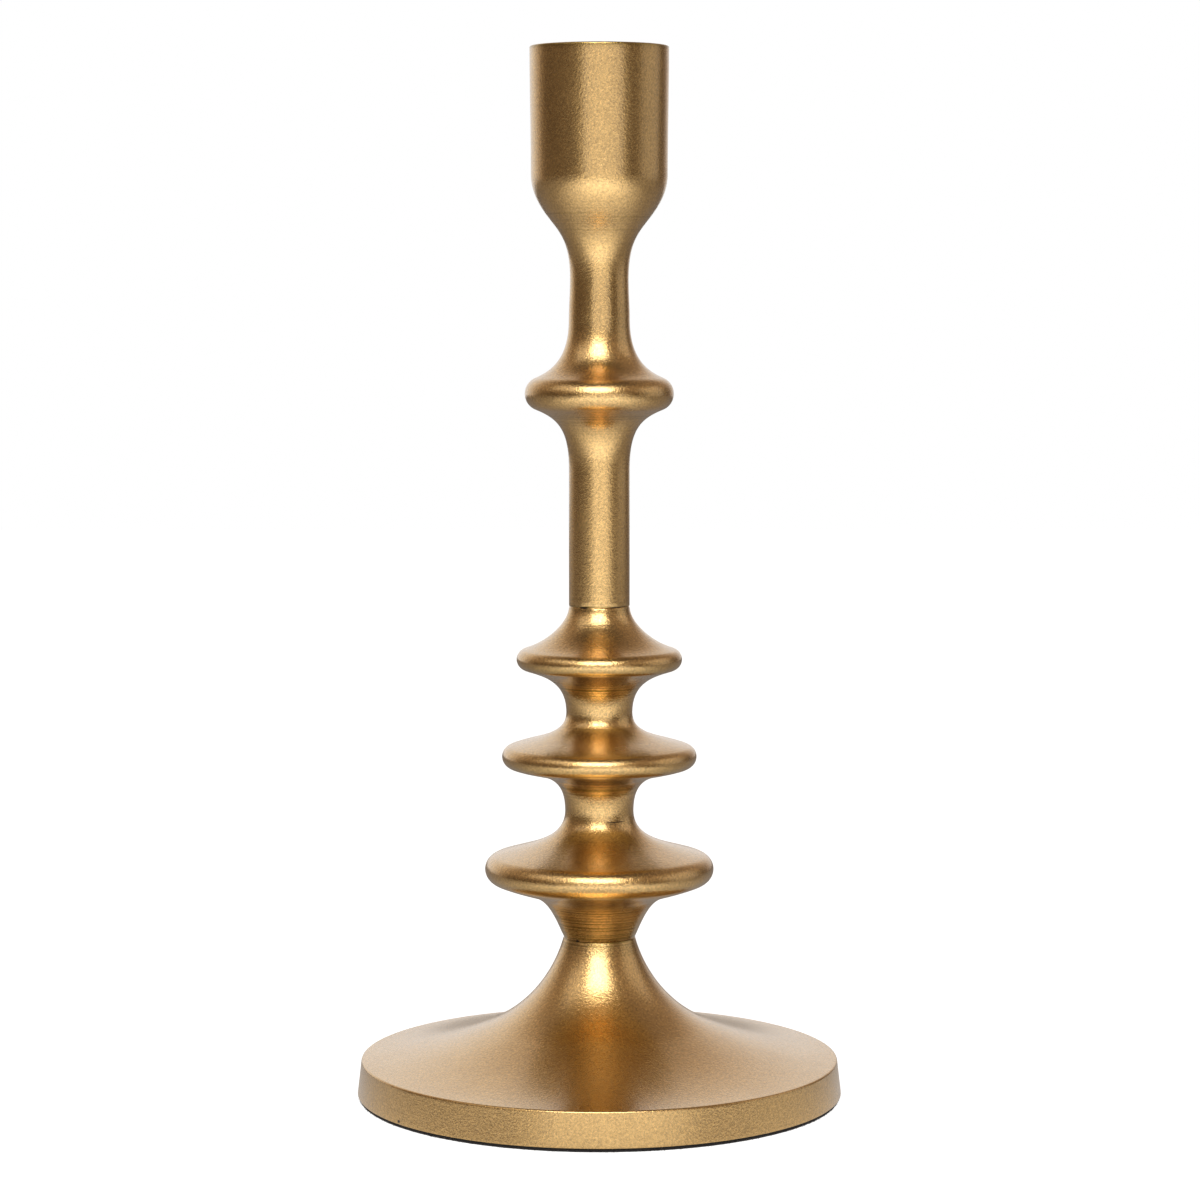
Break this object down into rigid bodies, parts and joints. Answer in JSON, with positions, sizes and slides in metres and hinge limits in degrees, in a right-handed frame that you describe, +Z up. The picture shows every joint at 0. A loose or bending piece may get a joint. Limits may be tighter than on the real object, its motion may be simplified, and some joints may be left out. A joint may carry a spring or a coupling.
{
  "type": "taper candle holder",
  "caption": "Tall turned metal candlestick: a straight candle cup on a slim stem with a rounded ring and stacked discs that widen downwards, on a trumpet foot with a felt underside.",
  "frame": {"origin": "centre of the felt underside, on the table", "axes": "+Z up along the stem, out of the candle socket; the body is turned, so X and Y are equal"},
  "size_m": [0.1208, 0.1208, 0.26],
  "materials": {
    "gold_casting": "cast and turned, satin antique gold lacquer with a fine metallic grain",
    "zinc_steel": "zinc plated",
    "black_felt": "pressed felt, self-adhesive"
  },
  "bodies": {
    "root": {"candle_cup_stem": "gold_casting", "ring_stem": "gold_casting", "foot": "gold_casting", "tie_rod": "zinc_steel", "flat_washer": "zinc_steel", "spring_washer": "zinc_steel", "hex_nut": "zinc_steel", "felt_pad": "black_felt"}
  },
  "joints": []
}
